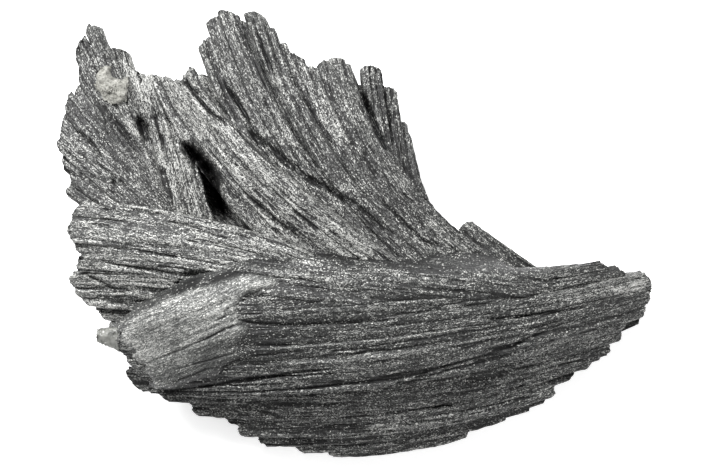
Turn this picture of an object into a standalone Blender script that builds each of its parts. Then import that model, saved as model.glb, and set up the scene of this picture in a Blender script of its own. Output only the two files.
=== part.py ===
"""Black kyanite fan: one intergrown specimen of bladed crystals, with a mica crust and a quartz nib on it.

The specimen lies on its back on the plane z = 0, +X to its blunt tail, +Y to its crown, +Z out of its broad face.
It is made of sheaves. A sheaf is a row of long flat blades that run from a line of tips to a line of roots, on
a curved surface, with rows of wider blades behind them. A Boolean union grows all of the blades into one solid.
Sizes are in millimetres and are turned into metres where a mesh is made.
"""

import math
import random
from dataclasses import dataclass, field
from typing import Callable

import bmesh
import bpy
from mathutils import Vector, noise

MM = 0.001
BACK_STEPS = 2  # lengthwise steps of a backing blade
OVERLAP = 1.35  # a front blade's width over its share of the row, so that neighbours grow into each other
BACK_OVERLAP = 1.25  # the same for a backing blade
NARROWEST = 2.2  # least width of a backing blade
ROLL_DEG = 8.0  # most that a blade leans about its own length
TIP_WIDTH = 0.66  # a blade's width at its tip, as a share of its full width
TIP_THICKNESS = 0.55  # the same for its thickness
TIP_SKEW = 0.4  # most that one edge of a tip runs ahead of the other, as a share of the width
STEP_HEIGHT = 0.4  # most that a blade stands above or below its row
TILT_REACH = 0.12  # share of the row to each side from which a blade takes its sideways tilt
MAX_TILT = 0.8
NEARBY = 0.02  # share of a blade's length to each side of a place that gives its heading there
LEAST_RUN = 0.01  # where the row is narrower than this its blades stay level
SEED = 7
SOLVER = "MANIFOLD"  # the exact solver leaves a wedge of one blade below the resting plane

GAP = 0.3  # clear space between two minerals
REST_SLAB = (120.0, 100.0, 40.0)  # what wears the resting faces flat

CRUST_CENTRE = (-35.1, 21.9, 12.2)
CRUST_RADII = (2.5, 3.3, 1.7)
CRUST_LEAN_DEG = 20.0
CRUST_LUMPS = (0.28, 2.1)  # how high and how close together they are
NIB_START = (-32.6, -15.2, 15.6)
NIB_END = (-37.1, -14.6, 15.0)
NIB_RADII = (1.35, 0.95)  # at its start and at its end

BLACK_KYANITE = ((0.055, 0.056, 0.055), 0.42, 0.25)  # colour, roughness, metallic
PALE_MICA = ((0.62, 0.61, 0.55), 0.6, 0.0)
CLOUDY_QUARTZ = ((0.66, 0.66, 0.6), 0.25, 0.0)


@dataclass
class Backing:
    """A row of wider blades behind a sheaf's front row."""

    count: int
    depth: float  # how far its top lies below the front row's top
    thickness: float
    retreat: float  # how far its tips stay back from the front row's tips, on average


@dataclass
class Sheaf:
    """tips are (x, y, z, width) and roots are (x, y, z), all on the blades' upper faces."""

    name: str
    tips: list
    roots: list
    bow: list  # how far the middle of a blade sags off its chord, across the fan, along the row
    rise: list  # how far it stands above its chord, along the row
    thickness: float
    backing: list = field(default_factory=list)
    bare_roots: bool = False
    steps: int = 2  # lengthwise steps of a front blade


CROWN = Sheaf(
    "crown",
    tips=[
        (-21.3, 28.7, 12.5, 2.4),
        (-20.3, 32.0, 12.0, 2.0),
        (-18.1, 32.9, 13.0, 2.3),
        (-16.2, 31.4, 11.5, 1.2),
        (-14.8, 32.6, 13.0, 2.2),
        (-12.7, 30.3, 13.6, 2.1),
        (-10.6, 28.0, 13.0, 2.2),
        (-8.6, 26.6, 12.0, 1.8),
        (-6.5, 24.8, 13.0, 2.0),
        (-4.4, 25.2, 13.6, 2.0),
        (-2.4, 26.2, 13.0, 2.2),
        (-0.7, 24.2, 12.0, 1.9),
    ],
    roots=[(8.0, -8.0, 15.0), (18.0, -9.5, 15.0), (30.0, -8.5, 10.0)],
    bow=[4.2, 4.4, 5.2],
    rise=[1.5, 2.5, 2.5],
    thickness=3.4,
    backing=[Backing(6, 2.6, 4.4, 1.8), Backing(5, 6.2, 4.6, 3.8)],
    steps=3,
)
SPUR = Sheaf(
    "spur",
    tips=[(2.4, 25.0, 9.2, 2.9), (5.4, 21.8, 9.0, 2.3), (8.0, 15.0, 8.6, 1.7)],
    roots=[(10.0, -3.0, 10.5), (15.0, -4.0, 10.0)],
    bow=[1.0, 1.4],
    rise=[0.5, 0.5],
    thickness=3.2,
    backing=[Backing(2, 2.6, 3.6, 2.6)],
)
LEDGE = Sheaf(
    "ledge",
    tips=[(16.7, 1.7, 10.5, 1.6)],
    roots=[(31.0, -8.2, 9.0)],
    bow=[0.3],
    rise=[0.4],
    thickness=3.0,
)
MIDDLE = Sheaf(
    "middle",
    tips=[
        (-28.5, 23.0, 13.6, 2.0),
        (-26.8, 22.3, 14.6, 2.1),
        (-25.0, 21.6, 15.2, 2.1),
        (-22.8, 20.0, 15.0, 2.0),
    ],
    roots=[(-3.0, -7.0, 16.5), (11.0, -8.0, 17.0)],
    bow=[2.8, 1.8],
    rise=[2.2, 2.8],
    thickness=3.4,
    steps=3,
    backing=[Backing(3, 2.8, 4.6, 1.6), Backing(2, 6.6, 5.0, 3.0)],
)
FRINGE = Sheaf(
    "fringe",
    tips=[(-23.7, 24.3, 11.8, 1.4), (-22.2, 23.4, 11.2, 1.4), (-20.7, 22.2, 11.0, 1.3)],
    roots=[(-12.5, 6.5, 12.0), (-8.0, 5.0, 12.0)],
    bow=[0.2, 0.2],
    rise=[0.3, 0.3],
    thickness=3.0,
    backing=[Backing(2, 2.4, 5.0, 1.0)],
)
SLIVER = Sheaf(
    "sliver",
    tips=[(-18.8, 10.4, 11.6, 1.5), (-17.4, 10.6, 12.6, 1.6), (-15.6, 9.0, 13.2, 1.6)],
    roots=[(-14.0, -1.0, 12.5), (-8.5, -4.0, 15.0)],
    bow=[0.3, 0.3],
    rise=[0.3, 0.6],
    thickness=3.6,
    backing=[Backing(2, 2.8, 5.6, 0.4)],
)
LEFT = Sheaf(
    "left",
    tips=[
        (-41.5, 7.3, 11.6, 2.4),
        (-41.2, 9.3, 12.2, 2.3),
        (-42.4, 12.0, 12.0, 2.7),
        (-42.95, 14.5, 12.8, 2.7),
        (-42.3, 16.9, 12.2, 2.6),
        (-41.8, 19.7, 12.0, 2.6),
        (-40.2, 22.2, 11.4, 2.4),
        (-40.0, 25.2, 11.8, 2.2),
        (-40.1, 28.2, 11.2, 2.4),
        (-38.5, 30.6, 12.0, 2.5),
        (-36.5, 26.9, 11.4, 1.9),
    ],
    roots=[(-20.0, -3.9, 15.0), (-22.2, 0.1, 14.0), (-24.5, 2.0, 12.6)],
    bow=[0.6, 0.8, 0.4],
    rise=[1.2, 1.0, 0.6],
    thickness=3.2,
    backing=[Backing(6, 2.6, 4.4, 1.6), Backing(5, 6.2, 4.4, 3.4)],
)
PALE = Sheaf(
    "pale",
    tips=[(-34.5, 27.4, 10.4, 2.1), (-32.3, 24.2, 10.6, 2.2), (-30.2, 23.2, 10.8, 2.1)],
    roots=[(-26.6, 6.0, 11.5), (-23.0, 6.0, 11.5)],
    bow=[0.4, 0.2],
    rise=[0.3, 0.3],
    thickness=3.2,
    backing=[Backing(2, 2.6, 7.0, 2.0)],
)
COLUMN = Sheaf(
    "column",
    tips=[(-28.8, 18.1, 13.2, 1.9), (-26.9, 17.0, 13.8, 1.9), (-25.0, 14.8, 13.0, 1.9)],
    roots=[(-24.4, -1.0, 13.6), (-20.8, -1.5, 13.6)],
    bow=[0.2, -0.3],
    rise=[0.6, 0.6],
    thickness=3.4,
    backing=[Backing(2, 2.8, 8.0, 1.0)],
)
LOWER = Sheaf(
    "lower",
    tips=[
        (-40.2, 4.1, 12.4, 2.2),
        (-41.3, 2.4, 13.0, 2.2),
        (-41.5, 0.4, 13.6, 2.3),
        (-40.2, -1.7, 13.6, 2.3),
        (-40.2, -4.1, 13.2, 2.3),
        (-41.0, -7.1, 11.6, 2.5),
        (-39.8, -9.4, 11.0, 2.3),
        (-37.2, -11.4, 10.0, 2.1),
        (-35.6, -13.0, 9.4, 2.0),
    ],
    roots=[(-2.0, -6.0, 20.0), (-6.0, -9.0, 19.0), (-14.0, -14.0, 13.0)],
    bow=[-2.0, -1.0, 0.3],
    rise=[1.6, 1.6, 0.6],
    thickness=3.4,
    steps=3,
    backing=[Backing(5, 2.8, 4.8, 1.4), Backing(4, 6.8, 5.0, 3.0)],
)
# The front sheaf is bare at both ends: its tips are its left ends and its roots its right ends.
FRONT = Sheaf(
    "front",
    tips=[
        (-17.5, -5.6, 19.2, 2.4),
        (-23.0, -8.2, 19.6, 2.6),
        (-28.0, -10.6, 19.2, 2.8),
        (-31.8, -12.8, 18.4, 3.0),
        (-33.9, -15.4, 17.4, 3.0),
        (-32.9, -18.0, 16.4, 2.8),
        (-31.4, -20.2, 15.2, 2.7),
        (-29.4, -21.9, 14.0, 2.5),
        (-32.4, -21.5, 9.6, 2.6),
        (-28.4, -22.9, 9.0, 2.5),
        (-23.8, -25.2, 8.6, 2.5),
        (-19.2, -26.8, 8.0, 2.4),
        (-16.8, -28.5, 7.0, 2.3),
        (-13.6, -30.2, 6.2, 2.2),
        (-8.4, -31.1, 5.4, 2.1),
        (-3.4, -31.3, 4.8, 2.0),
        (3.0, -31.1, 4.2, 1.8),
    ],
    roots=[
        (29.5, -7.0, 14.2),
        (33.5, -6.2, 13.4),
        (37.6, -5.6, 12.8),
        (40.0, -6.6, 12.4),
        (43.8, -7.3, 12.0),
        (43.6, -9.0, 11.4),
        (43.0, -10.6, 10.6),
        (40.4, -12.4, 9.8),
        (39.8, -14.2, 8.8),
        (38.0, -16.2, 8.0),
        (35.2, -18.0, 7.4),
        (32.6, -20.0, 7.0),
        (30.0, -22.6, 6.4),
        (26.4, -24.8, 5.8),
        (22.8, -26.2, 5.2),
        (17.0, -28.8, 4.6),
        (14.4, -29.9, 4.2),
    ],
    bow=[0.6, 1.8, 3.2, 3.4, 2.8, 1.5, 0.5],
    rise=[4.4, 5.2, 5.4, 5.0, 3.6, 2.0, 0.6],
    thickness=3.6,
    backing=[Backing(8, 3.0, 5.0, 2.6), Backing(6, 7.2, 5.4, 4.6), Backing(4, 11.6, 5.6, 8.0)],
    bare_roots=True,
    steps=3,
)
# The broad blades of the specimen's back. Their middles reach below z = 0, where they are worn flat.
BACK_FAN = Sheaf(
    "back_fan",
    tips=[
        (-35.0, -4.0, 7.4, 8.0),
        (-35.5, 6.0, 7.4, 8.0),
        (-33.5, 16.0, 7.4, 8.0),
        (-24.5, 17.0, 7.0, 7.0),
        (-17.0, 23.0, 7.4, 8.0),
        (-8.5, 20.5, 7.4, 8.0),
        (1.0, 16.0, 7.0, 7.0),
    ],
    roots=[(-4.0, -14.0, 9.0), (2.0, -10.0, 9.0), (17.0, -9.0, 8.0)],
    bow=[0.5, 1.5, 3.0],
    rise=[-1.6, -2.0, -1.6],
    thickness=6.8,
)
BACK_LONG = Sheaf(
    "back_long",
    tips=[(-29.0, -9.0, 9.0, 6.0), (-27.0, -15.0, 8.6, 6.0), (-22.0, -21.0, 7.4, 5.6), (-12.0, -26.0, 6.0, 4.6)],
    roots=[(35.0, -9.0, 8.4), (34.0, -12.0, 7.8), (28.0, -17.0, 7.0), (18.0, -23.5, 6.0)],
    bow=[1.5, 2.0],
    rise=[-2.2, -1.4],
    thickness=6.6,
    bare_roots=True,
)
SHEAVES = [CROWN, SPUR, LEDGE, MIDDLE, FRINGE, SLIVER, LEFT, PALE, COLUMN, LOWER, FRONT, BACK_FAN, BACK_LONG]


@dataclass
class Blade:
    """One lath: line(s) is the middle of its upper face, and tilt(s, side) how that face leans sideways."""

    name: str
    line: Callable
    tilt: Callable
    width: Callable
    thickness: float
    steps: int
    roll: float
    skew: float
    bare_root: bool
    plumb: bool  # its thickness runs straight down, so that a wide thick blade stays inside the outline


def along(row, share):
    """The value at a share of a row of evenly spaced numbers or points."""
    place = share * (len(row) - 1)
    low = max(min(int(place), len(row) - 2), 0)
    high = min(low + 1, len(row) - 1)
    part = place - low
    if isinstance(row[0], tuple):
        return Vector([a + (b - a) * part for a, b in zip(row[low][:3], row[high][:3])])
    return row[low] + (row[high] - row[low]) * part


def blade_line(sheaf, share, sink=0.0, retreat=0.0):
    """The middle line at this share of the row, as a function of s: 0 at the root and 1 at the tip."""
    tip = along(sheaf.tips, share)
    root = along(sheaf.roots, share)
    chord = tip - root
    tip = tip - chord.normalized() * retreat
    side = Vector((chord.y, -chord.x, 0.0)).normalized()
    middle = (tip + root) / 2 - side * along(sheaf.bow, share) + Vector((0.0, 0.0, along(sheaf.rise, share)))
    control = middle * 2 - (tip + root) / 2
    drop = Vector((0.0, 0.0, sink))
    return lambda s: root * (1 - s) ** 2 + control * (2 * s * (1 - s)) + tip * s**2 - drop


def heading(line, s):
    """The direction in which a blade grows at the place s."""
    return (line(min(s + NEARBY, 1.0)) - line(max(s - NEARBY, 0.0))).normalized()


def row_tilt(sheaf, share):
    """How steeply the row climbs, sideways from the blade at this share, as a function of the place s along it."""
    before = blade_line(sheaf, max(share - TILT_REACH, 0.0))
    after = blade_line(sheaf, min(share + TILT_REACH, 1.0))

    def at(s, side):
        step = after(s) - before(s)
        run = step.dot(side)
        return max(min(step.z / run, MAX_TILT), -MAX_TILT) if abs(run) > LEAST_RUN else 0.0

    return at


def constant(width):
    return lambda s: width


def row_width(sheaf, share, reach):
    """The width that the row has from share - reach to share + reach, as a function of the place s along it."""
    line = blade_line(sheaf, share)
    before = blade_line(sheaf, share - reach)
    after = blade_line(sheaf, share + reach)

    def at(s):
        ahead = heading(line, s)
        step = after(s) - before(s)
        return max((step - ahead * step.dot(ahead)).length * BACK_OVERLAP, NARROWEST)

    return at


def blades_of(sheaf, rng):
    """The front row of the sheaf, one blade for each tip, and the rows of wider blades behind it."""
    blades = []

    def add(name, share, sink, retreat, width, thickness, steps, plumb=False):
        blades.append(
            Blade(
                name,
                blade_line(sheaf, share, sink, retreat),
                row_tilt(sheaf, share),
                width,
                thickness,
                steps,
                math.radians(rng.uniform(-ROLL_DEG, ROLL_DEG)),
                rng.uniform(-TIP_SKEW, TIP_SKEW),
                sheaf.bare_roots,
                plumb,
            )
        )

    last = max(len(sheaf.tips) - 1, 1)
    for i, tip in enumerate(sheaf.tips):
        sink = rng.uniform(-STEP_HEIGHT, STEP_HEIGHT)
        name = f"{sheaf.name}_{i:02d}"
        add(name, i / last, sink, 0.0, constant(tip[3] * OVERLAP), sheaf.thickness, sheaf.steps)
    for depth, row in enumerate(sheaf.backing):
        for i in range(row.count):
            share = (i + 0.5) / row.count
            width = row_width(sheaf, share, 0.5 / row.count)
            retreat = row.retreat * rng.uniform(0.5, 1.5)
            name = f"{sheaf.name}_behind{depth}_{i}"
            add(name, share, row.depth, retreat, width, row.thickness, BACK_STEPS, plumb=True)
    return blades


def new_object(name, shape, home, hidden=False):
    """A bmesh in millimetres as an object in metres."""
    shape.normal_update()
    bmesh.ops.recalc_face_normals(shape, faces=shape.faces)
    bmesh.ops.scale(shape, verts=shape.verts, vec=(MM, MM, MM))
    mesh = bpy.data.meshes.new(name)
    shape.to_mesh(mesh)
    shape.free()
    made = bpy.data.objects.new(name, mesh)
    home.objects.link(made)
    made.hide_render = hidden
    made.display_type = "WIRE" if hidden else "TEXTURED"
    return made


def make_blade(blade, home, clearance=0.0):
    """A lath that follows the blade's line. With a clearance, it is that much larger all round."""
    shape = bmesh.new()
    bmesh.ops.create_cube(shape, size=1.0)
    lengthwise = [edge for edge in shape.edges if abs(edge.verts[0].co.x - edge.verts[1].co.x) > 0.5]
    bmesh.ops.subdivide_edges(shape, edges=lengthwise, cuts=blade.steps - 1)
    for vertex in shape.verts:
        s = vertex.co.x + 0.5
        ahead = heading(blade.line, s)
        side = Vector((ahead.y, -ahead.x, 0.0)).normalized()
        side.z = blade.tilt(s, side)
        side = (side - ahead * side.dot(ahead)).normalized()
        up = side.cross(ahead)
        if blade.plumb:
            up = Vector((0.0, 0.0, 1.0))
        else:
            turn, lean = math.cos(blade.roll), math.sin(blade.roll)
            side, up = side * turn + up * lean, up * turn - side * lean
        end = max(s, 1 - s) if blade.bare_root else s
        width = blade.width(s) * (1 - (1 - TIP_WIDTH) * end**4) + 2 * clearance
        thickness = blade.thickness * (1 - (1 - TIP_THICKNESS) * end**4) + 2 * clearance
        y, z = vertex.co.y, vertex.co.z
        slide = blade.skew * width * y * s**4
        vertex.co = blade.line(s) + ahead * slide + side * (y * width) + up * ((z - 0.5) * thickness + clearance)
    return new_object(blade.name, shape, home, hidden=True)


def material(name, finish):
    colour, roughness, metallic = finish
    made = bpy.data.materials.new(name)
    made.use_nodes = True
    shader = made.node_tree.nodes["Principled BSDF"]
    shader.inputs["Base Color"].default_value = (*colour, 1.0)
    shader.inputs["Roughness"].default_value = roughness
    shader.inputs["Metallic"].default_value = metallic
    return made


def combine(solid, operation, tool):
    """Puts a Boolean on the solid. The tool is one object or a collection of them."""
    boolean = solid.modifiers.new(operation.lower(), "BOOLEAN")
    boolean.operation = operation
    boolean.solver = SOLVER
    if isinstance(tool, bpy.types.Collection):
        boolean.operand_type = "COLLECTION"
        boolean.collection = tool
    else:
        boolean.object = tool


def keep_outer_skin(solid):
    """Applies the solid's modifiers and fills the pockets that its pieces sealed in between them."""
    evaluated = solid.evaluated_get(bpy.context.evaluated_depsgraph_get())
    shape = bmesh.new()
    shape.from_mesh(evaluated.to_mesh())
    evaluated.to_mesh_clear()
    solid.modifiers.clear()
    unseen = set(shape.verts)
    islands = []
    while unseen:
        reached = [unseen.pop()]
        for vertex in reached:
            beside = {edge.other_vert(vertex) for edge in vertex.link_edges} & unseen
            unseen -= beside
            reached.extend(beside)
        islands.append(reached)
    islands.sort(key=len)
    bmesh.ops.delete(shape, geom=[vertex for island in islands[:-1] for vertex in island], context="VERTS")
    shape.to_mesh(solid.data)
    shape.free()


def make_rest_slab(home):
    shape = bmesh.new()
    bmesh.ops.create_cube(shape, size=1.0)
    bmesh.ops.scale(shape, verts=shape.verts, vec=REST_SLAB)
    bmesh.ops.translate(shape, verts=shape.verts, vec=(0.0, 0.0, -REST_SLAB[2] / 2))
    return new_object("rest_slab", shape, home, hidden=True)


def make_fan(blades, home, grown, cutters):
    """All of the blades as one solid, worn flat where it rests."""
    fan = make_blade(blades[0], home)
    fan.name = "kyanite_fan"
    fan.hide_render = False
    fan.display_type = "TEXTURED"
    for blade in blades[1:]:
        make_blade(blade, grown)
    combine(fan, "UNION", grown)
    combine(fan, "DIFFERENCE", make_rest_slab(cutters))
    keep_outer_skin(fan)
    fan.data.materials.append(material("black_kyanite", BLACK_KYANITE))


def make_crust(home, room):
    """A lump of pale mica, seated on the blades below it with a clear gap."""
    shape = bmesh.new()
    bmesh.ops.create_icosphere(shape, subdivisions=3, radius=1.0)
    lean = math.radians(CRUST_LEAN_DEG)
    height, closeness = CRUST_LUMPS
    for vertex in shape.verts:
        swell = 1 + height * noise.noise(vertex.co * closeness)
        x, y, z = (vertex.co[i] * CRUST_RADII[i] * swell for i in range(3))
        turned = Vector((x * math.cos(lean) - y * math.sin(lean), x * math.sin(lean) + y * math.cos(lean), z))
        vertex.co = Vector(CRUST_CENTRE) + turned
    crust = new_object("mica_crust", shape, home)
    combine(crust, "DIFFERENCE", room)
    keep_outer_skin(crust)
    crust.data.materials.append(material("pale_mica", PALE_MICA))


def make_nib(home, room):
    """A stub of cloudy quartz that stands out of the end of the front sheaf."""
    start, end = Vector(NIB_START), Vector(NIB_END)
    shape = bmesh.new()
    bmesh.ops.create_cone(
        shape,
        cap_ends=True,
        segments=6,
        radius1=NIB_RADII[0],
        radius2=NIB_RADII[1],
        depth=(end - start).length,
    )
    facing = (end - start).to_track_quat("Z", "Y")
    for vertex in shape.verts:
        vertex.co = (start + end) / 2 + facing @ vertex.co
    nib = new_object("quartz_nib", shape, home)
    combine(nib, "DIFFERENCE", room)
    keep_outer_skin(nib)
    nib.data.materials.append(material("cloudy_quartz", CLOUDY_QUARTZ))


def main():
    for old in list(bpy.data.objects):
        bpy.data.objects.remove(old, do_unlink=True)
    collections = {}
    for name in ("black_kyanite_fan", "blades", "cutters", "room_for_crust", "room_for_nib"):
        collections[name] = bpy.data.collections.new(name)
        bpy.context.scene.collection.children.link(collections[name])

    rng = random.Random(SEED)
    rows = {sheaf.name: blades_of(sheaf, rng) for sheaf in SHEAVES}
    for blade in rows["left"] + rows["pale"]:
        make_blade(blade, collections["room_for_crust"], GAP)
    for blade in rows["front"] + rows["lower"]:
        make_blade(blade, collections["room_for_nib"], GAP)
    specimen = collections["black_kyanite_fan"]
    every_blade = [blade for row in rows.values() for blade in row]
    make_fan(every_blade, specimen, collections["blades"], collections["cutters"])
    make_crust(specimen, collections["room_for_crust"])
    make_nib(specimen, collections["room_for_nib"])


main()
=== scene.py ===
"""Black kyanite fan: the fibrous blades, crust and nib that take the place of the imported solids.

Every sheaf of blades becomes one piece, and every blade in it is one skin of overlapping fibres, closed
but for what lies in the ground. Two thin drapes of fibres lie over the front. Sizes are in millimetres
and are turned into metres where a mesh is made.
"""

import math
import random
from dataclasses import dataclass, field

import bmesh
import bpy
import numpy as np
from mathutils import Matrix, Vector, noise
from mathutils.bvhtree import BVHTree


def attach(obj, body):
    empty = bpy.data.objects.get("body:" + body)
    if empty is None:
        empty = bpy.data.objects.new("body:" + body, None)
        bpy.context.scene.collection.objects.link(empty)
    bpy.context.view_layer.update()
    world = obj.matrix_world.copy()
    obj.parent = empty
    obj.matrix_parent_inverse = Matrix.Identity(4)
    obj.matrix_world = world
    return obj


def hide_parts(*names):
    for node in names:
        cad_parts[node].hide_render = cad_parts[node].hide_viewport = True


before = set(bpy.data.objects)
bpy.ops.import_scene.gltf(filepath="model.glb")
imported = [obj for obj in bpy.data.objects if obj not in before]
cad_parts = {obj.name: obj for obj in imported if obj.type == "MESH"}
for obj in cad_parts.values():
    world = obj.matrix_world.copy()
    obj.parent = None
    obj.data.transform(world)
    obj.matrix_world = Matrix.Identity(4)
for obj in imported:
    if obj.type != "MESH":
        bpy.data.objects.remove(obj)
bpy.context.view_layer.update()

MM = 0.001

# The blades, much as the solids have them.
OVERLAP = 1.35  # a front blade's width over its share of the row
BACK_OVERLAP = 1.25  # the same for a backing blade
NARROWEST = 2.2  # least width of a backing blade
ROLL_DEG = 8.0  # most that a blade leans about its own length
TIP_WIDTH = 0.88  # a front blade's width at its tip, as a share of its full width
BACK_TIP_WIDTH = 0.6
TIP_THICKNESS = 0.55  # the same for its thickness
TIP_SKEW = 0.4  # most that one edge of a tip runs ahead of the other, as a share of the width
MAX_CUT = 1.3  # the same where an end is cut along the outline
STEP_HEIGHT = 0.4  # most that a blade stands above or below its row
TILT_REACH = 0.12  # share of the row to each side from which a blade takes its sideways tilt
MAX_TILT = 0.8
LEAST_RUN = 0.01  # where the row is narrower than this its blades stay level
WAVE_EVERY = 7.0  # length of a blade's slow waves
WAVE_ASIDE = 0.07
WAVE_UP = 0.08
BACK_WAVE_UP = 0.25
SEED = 7

# The fibres that the blades are made of.
LATH_WIDTH = 0.85  # of the broad fibres, on average
LATH_LENGTH = 22.0
LATH_LAYERS = 3.0
LATH_DRIFT = 0.012  # how far they wander round the blade for each mm along
NEEDLE_WIDTH = 0.38  # of the fine ones
NEEDLE_LENGTH = 6.0
NEEDLE_LAYERS = 1.1
NEEDLE_DRIFT = 0.03
CRACKS_PER_MM2 = 0.09
END_TAPER = 0.4  # length over which a fibre's end falls away
END_DROP = 0.3  # and how far
SEARCH_MARGIN = 1.0  # past a fibre's ends, as a blade's rings aren't straight
BARE_DEPTH = 3  # how far the bare skin lies below its fibres, over how unevenly they stand
ROUNDNESS = 0.12  # how far a fibre's edges lie below its middle, as a share of its width
CREVICE_PAINTED_SHADE = 1.2  # painted shade: how much darker the bare skin is for each mm that it lies deeper
HEIGHT_PAINTED_LIGHT = 0.35  # painted light and shade: how much lighter a fibre is for each mm that it stands higher
BLADE_TONE = 0.04  # how unevenly light the blades of a sheaf are
GRIT = 0.035  # roughness of the skin from point to point

# The skins of the blades.
ROUNDING = 0.5  # how far the corners of a blade's end stay back from its middle
RAG_EVERY = 0.9  # between the notches of a broken end
RAG_LEVEL = 0.25  # a broken end's lines stand this much further out
EDGE_ROUND = 0.15  # rounding of a blade's long edges
SQUARENESS = 8  # of a blade's section
BACK_SPACING, BACK_STEP = 1.9, 1.7  # a backing blade's points lie this many times as far apart
LEAST_BACK_SPACING, LEAST_BACK_STEP = 0.3, 0.85  # and at least this far
FLANK_COARSENESS = 2.6
UNDER_COARSENESS = 4.5
CAP_SHARES = (0.86, 0.62, 0.36, 0.12)  # sizes of the rings that close a blade's end
CAP_BULGE = 0.12
CAP_ROUGHNESS = 0.12
DEEP = 2.5  # a groove deeper than this also cuts the backing blades
GROOVE_TIP = 0.35  # how wide and deep a groove still is at its two ends
GROOVE_PLAY = (0.75, 1.1)  # how unevenly deep a groove is from ring to ring
GROOVE_FLOOR = 3.5  # no groove of a blade reaches lower than this
FLOOR_PLAY = 0.08  # what rests on the ground does so up to this height
ATLAS_SHAPE = 4.0  # a skin's length over its girth
ATLAS_FILL = 0.94
ATLAS_DISC = 0.02  # size of a blade's end in the atlas
DISC_MIDDLE = (0.97, 0.5)  # between its two ends, in its own part of the atlas
DISC_APART = 0.3
FIBRE_SEED = 11

# The drapes.
DRAPE_MARGIN = 1.5  # past the outline on every side
DRAPE_STEP = 0.3
DRAPE_SPACING = 0.16
DRAPE_SINK = 0.3  # how far below the blades' faces its edge lies
DRAPE_WANDER = (2.4, 1.2)  # how unevenly its outline runs in x and y, before it is smoothed
WANDER_ROUNDS = 6
DRAPE_SPARE = 4.0  # added to its width, so that no fibre comes round to its other edge
DRAPE_BARE_DEPTH = 2  # as BARE_DEPTH
DRAPE_GAPS = 6  # how deep the gaps between its fibres are for each mm of relief
DRAPE_STREAKS = 10  # how much of the fibres' own tones it shows for each mm of relief
DRAPE_GRIT = GRIT / 2
LEAST_EDGE = 0.04  # it ends where less than this of it is left
SMOOTH_FOR_REACH = 12  # rounds of smoothing for each step that a drape bridges
SOFT_RUN = 5.0  # over which a drape's edge turns soft
STEEP_PAINTED_SHADE = 0.35  # painted shade: how much darker a drape is where it falls away steeply
RAY_START = 0.1  # in metres, above the whole specimen
DRAPE_NUMBER = 99.0  # stands where a blade's grain has the blade's number
DRAPE_ATLAS = 1.02  # the atlas's length over its own


@dataclass
class Sheaf:
    """tips are (x, y, z, width) and roots are (x, y, z), all on the blades' upper faces.

    backing has the rows of wider blades behind the front row, as (count, depth, thickness, retreat): how far
    a row's top lies below the front row's, and how far its tips stay back from the front tips on average.
    """

    name: str
    tips: list
    roots: list
    bow: list  # how far the middle of a blade sags off its chord, across the fan, along the row
    rise: list  # how far it stands above its chord, along the row
    thickness: float
    backing: list = field(default_factory=list)
    bare_roots: bool = False
    tone: float = 0.5  # how light its fibres are, from 0 to 1
    relief: float = 0.065  # how unevenly its fibres stand
    rag: float = 0.3  # how unevenly its ends are broken
    cut: float = 0.25  # how far its ends are cut along the line of the tips: 0 is square to each blade
    unevenness: float = 1.0  # of the heights and the lean of its blades
    spacing: float = 0.17  # between the points across its faces
    step: float = 0.5  # between the points along them


CROWN = Sheaf(
    "crown",
    tips=[
        (-21.3, 28.7, 12.5, 2.4), (-20.3, 32.0, 12.0, 2.0), (-18.1, 32.9, 13.0, 2.3),
        (-16.2, 31.4, 11.5, 1.2), (-14.8, 32.6, 13.0, 2.2), (-12.7, 30.3, 13.6, 2.1),
        (-10.6, 28.0, 13.0, 2.2), (-8.6, 26.6, 12.0, 1.8), (-6.5, 24.8, 13.0, 2.0),
        (-4.4, 25.2, 13.6, 2.0), (-2.4, 26.2, 13.0, 2.2), (-0.7, 24.2, 12.0, 1.9),
    ],
    roots=[(8.0, -8.0, 15.0), (18.0, -9.5, 15.0), (30.0, -8.5, 10.0)],
    bow=[4.2, 4.4, 5.2],
    rise=[1.5, 2.5, 2.5],
    thickness=3.4,
    backing=[(6, 2.6, 4.4, 1.8), (5, 6.2, 4.6, 3.8)],
    tone=0.26,
)
SPUR = Sheaf(
    "spur",
    tips=[(2.9, 25.0, 9.2, 2.5), (5.4, 21.8, 9.0, 2.1), (8.0, 15.0, 8.6, 1.7)],
    roots=[(10.0, -3.0, 10.5), (15.0, -4.0, 10.0)],
    bow=[1.0, 1.4],
    rise=[0.5, 0.5],
    thickness=3.2,
    backing=[(2, 2.6, 3.6, 2.6)],
    tone=0.2,
)
LEDGE = Sheaf(
    "ledge",
    tips=[(16.5, 1.5, 10.5, 2.0)],
    roots=[(30.8, -8.5, 9.0)],
    bow=[0.3],
    rise=[0.4],
    thickness=3.0,
    tone=0.18,
)
MIDDLE = Sheaf(
    "middle",
    tips=[
        (-28.5, 23.0, 13.6, 2.0), (-26.8, 22.3, 14.6, 2.1), (-25.0, 21.6, 15.2, 2.1),
        (-22.8, 20.0, 15.0, 2.0),
    ],
    roots=[(-3.0, -7.0, 16.5), (11.0, -8.0, 17.0)],
    bow=[2.8, 1.8],
    rise=[2.2, 2.8],
    thickness=3.4,
    backing=[(3, 2.8, 4.6, 1.6), (2, 6.6, 5.0, 3.0)],
    tone=0.55,
)
FRINGE = Sheaf(
    "fringe",
    tips=[(-23.7, 24.3, 11.8, 1.4), (-22.2, 23.4, 11.2, 1.4), (-20.7, 22.2, 11.0, 1.3)],
    roots=[(-12.5, 6.5, 12.0), (-8.0, 5.0, 12.0)],
    bow=[0.2, 0.2],
    rise=[0.3, 0.3],
    thickness=3.0,
    backing=[(2, 2.4, 5.0, 1.0)],
    relief=0.18,
    tone=0.42,
)
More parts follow.
